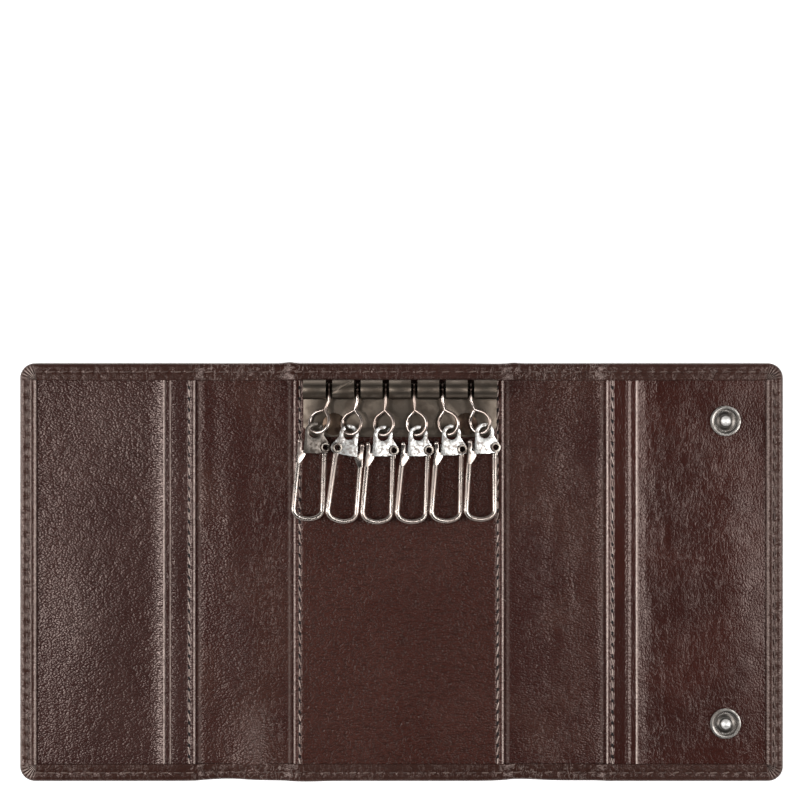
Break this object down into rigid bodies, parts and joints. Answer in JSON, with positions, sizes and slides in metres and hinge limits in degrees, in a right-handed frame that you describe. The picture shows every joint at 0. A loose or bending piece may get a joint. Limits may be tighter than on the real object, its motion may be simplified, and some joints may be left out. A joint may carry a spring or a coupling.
{
  "type": "key case",
  "caption": "Folding leather key case laid open: two spines and two pocketed flaps, press snaps, and a rolled metal rail that carries wire links and snap hooks.",
  "frame": {"origin": "middle of the laid-open case, at the height of the lowest points of the snap caps and sockets that it rests on", "axes": "+X to the right along the opened case, +Y towards the edge with the key rail, +Z out of the inside faces, up from the table"},
  "size_m": [0.2008, 0.11, 0.0096],
  "materials": {
    "outer_leather": "dark brown fine-grained leather, semi-gloss",
    "lining_leather": "dark brown grained leather, glossy creases",
    "panel_leather": "dark brown grained leather with folded edges",
    "pocket_leather": "dark brown grained leather with a ridge along the mouth",
    "rail_metal": "antique nickel, satin",
    "rivet_metal": "dark antique nickel",
    "snap_metal": "dark polished gunmetal",
    "wire_metal": "polished nickel wire",
    "hook_metal": "polished nickel sheet"
  },
  "bodies": {
    "centre": {"outer_back": "outer_leather", "lining_back": "lining_leather", "centre_panel": "panel_leather", "key_rail": "rail_metal", "rail_rod": "rail_metal", "rail_rivets": "rivet_metal"},
    "left_spine": {"outer_left_spine": "outer_leather", "lining_left_spine": "lining_leather"},
    "left_flap": {"outer_left_flap": "outer_leather", "lining_left_flap": "lining_leather", "left_pocket": "pocket_leather", "socket_upper": "snap_metal", "socket_lower": "snap_metal", "eyelet_upper": "snap_metal", "eyelet_lower": "snap_metal"},
    "right_spine": {"outer_right_spine": "outer_leather", "lining_right_spine": "lining_leather"},
    "right_flap": {"outer_right_flap": "outer_leather", "lining_right_flap": "lining_leather", "right_pocket": "pocket_leather", "stud_upper": "snap_metal", "stud_lower": "snap_metal", "cap_upper": "snap_metal", "cap_lower": "snap_metal"},
    "key_link_1": {"link_1": "wire_metal"},
    "key_link_2": {"link_2": "wire_metal"},
    "key_link_3": {"link_3": "wire_metal"},
    "key_link_4": {"link_4": "wire_metal"},
    "key_link_5": {"link_5": "wire_metal"},
    "key_link_6": {"link_6": "wire_metal"},
    "snap_hook_1": {"hook_1": "hook_metal", "hook_rivet_1": "rivet_metal"},
    "snap_hook_2": {"hook_2": "hook_metal", "hook_rivet_2": "rivet_metal"},
    "snap_hook_3": {"hook_3": "hook_metal", "hook_rivet_3": "rivet_metal"},
    "snap_hook_4": {"hook_4": "hook_metal", "hook_rivet_4": "rivet_metal"},
    "snap_hook_5": {"hook_5": "hook_metal", "hook_rivet_5": "rivet_metal"},
    "snap_hook_6": {"hook_6": "hook_metal", "hook_rivet_6": "rivet_metal"},
    "key_bail_1": {"bail_1": "wire_metal"},
    "key_bail_2": {"bail_2": "wire_metal"},
    "key_bail_3": {"bail_3": "wire_metal"},
    "key_bail_4": {"bail_4": "wire_metal"},
    "key_bail_5": {"bail_5": "wire_metal"},
    "key_bail_6": {"bail_6": "wire_metal"}
  },
  "joints": [
    {"name": "left_spine_fold", "type": "hinge", "parent": "centre", "child": "left_spine", "pos_m": [-0.0295, 0, 0.0027], "axis": [0, 1, 0], "range_deg": [0, 90]},
    {"name": "left_flap_fold", "type": "hinge", "parent": "left_spine", "child": "left_flap", "pos_m": [-0.0532, 0, 0.0027], "axis": [0, 1, 0], "range_deg": [0, 94.5]},
    {"name": "right_spine_fold", "type": "hinge", "parent": "centre", "child": "right_spine", "pos_m": [0.028, 0, 0.0027], "axis": [0, -1, 0], "range_deg": [0, 90]},
    {"name": "right_flap_fold", "type": "hinge", "parent": "right_spine", "child": "right_flap", "pos_m": [0.0528, 0, 0.0027], "axis": [0, -1, 0], "range_deg": [0, 86.8]},
    {"name": "link_1_swing", "type": "hinge", "parent": "centre", "child": "key_link_1", "pos_m": [-0.01895, 0.04806, 0.0062], "axis": [1, 0, 0], "range_deg": [-150, 0]},
    {"name": "link_2_swing", "type": "hinge", "parent": "centre", "child": "key_link_2", "pos_m": [-0.01153, 0.04806, 0.0062], "axis": [1, 0, 0], "range_deg": [-150, 0]},
    {"name": "link_3_swing", "type": "hinge", "parent": "centre", "child": "key_link_3", "pos_m": [-0.00411, 0.04806, 0.0062], "axis": [1, 0, 0], "range_deg": [-150, 0]},
    {"name": "link_4_swing", "type": "hinge", "parent": "centre", "child": "key_link_4", "pos_m": [0.00331, 0.04806, 0.0062], "axis": [1, 0, 0], "range_deg": [-150, 0]},
    {"name": "link_5_swing", "type": "hinge", "parent": "centre", "child": "key_link_5", "pos_m": [0.01073, 0.04806, 0.0062], "axis": [1, 0, 0], "range_deg": [-150, 0]},
    {"name": "link_6_swing", "type": "hinge", "parent": "centre", "child": "key_link_6", "pos_m": [0.01815, 0.04806, 0.0062], "axis": [1, 0, 0], "range_deg": [-150, 0]},
    {"name": "hook_1_swing", "type": "hinge", "parent": "key_link_1", "child": "snap_hook_1", "pos_m": [-0.02277, 0.03692, 0.0069], "axis": [1, 0, 0], "range_deg": [-22, 0]},
    {"name": "hook_2_swing", "type": "hinge", "parent": "key_link_2", "child": "snap_hook_2", "pos_m": [-0.01375, 0.03636, 0.00693], "axis": [1, 0, 0], "range_deg": [-27, 0]},
    {"name": "hook_3_swing", "type": "hinge", "parent": "key_link_3", "child": "snap_hook_3", "pos_m": [-0.00486, 0.03611, 0.00695], "axis": [1, 0, 0], "range_deg": [-33, 0]},
    {"name": "hook_4_swing", "type": "hinge", "parent": "key_link_4", "child": "snap_hook_4", "pos_m": [0.00434, 0.03614, 0.00695], "axis": [1, 0, 0], "range_deg": [-42, 0]},
    {"name": "hook_5_swing", "type": "hinge", "parent": "key_link_5", "child": "snap_hook_5", "pos_m": [0.01304, 0.03638, 0.00693], "axis": [1, 0, 0], "range_deg": [-45, 0]},
    {"name": "hook_6_swing", "type": "hinge", "parent": "key_link_6", "child": "snap_hook_6", "pos_m": [0.02172, 0.03681, 0.0069], "axis": [1, 0, 0], "range_deg": [-45, 0]},
    {"name": "bail_1_pivot", "type": "hinge", "parent": "snap_hook_1", "child": "key_bail_1", "pos_m": [-0.02019, 0.03293, 0.00563], "axis": [-0.1821, 0.0064, -0.9833], "range_deg": [-22, 0]},
    {"name": "bail_2_pivot", "type": "hinge", "parent": "snap_hook_2", "child": "key_bail_2", "pos_m": [-0.01698, 0.03287, 0.0082], "axis": [0.1805, -0.0254, 0.9833], "range_deg": [-22, 0]},
    {"name": "bail_3_pivot", "type": "hinge", "parent": "snap_hook_3", "child": "key_bail_3", "pos_m": [-0.00224, 0.03214, 0.00568], "axis": [-0.1822, 0.0048, -0.9833], "range_deg": [-22, 0]},
    {"name": "bail_4_pivot", "type": "hinge", "parent": "snap_hook_4", "child": "key_bail_4", "pos_m": [0.00692, 0.03215, 0.00568], "axis": [-0.1821, 0.0064, -0.9833], "range_deg": [-22, 0]},
    {"name": "bail_5_pivot", "type": "hinge", "parent": "snap_hook_5", "child": "key_bail_5", "pos_m": [0.01569, 0.03243, 0.00567], "axis": [-0.1822, 0.0032, -0.9833], "range_deg": [-22, 0]},
    {"name": "bail_6_pivot", "type": "hinge", "parent": "snap_hook_6", "child": "key_bail_6", "pos_m": [0.02443, 0.03291, 0.00564], "axis": [-0.1822, 0, -0.9833], "range_deg": [-22, 0]}
  ]
}
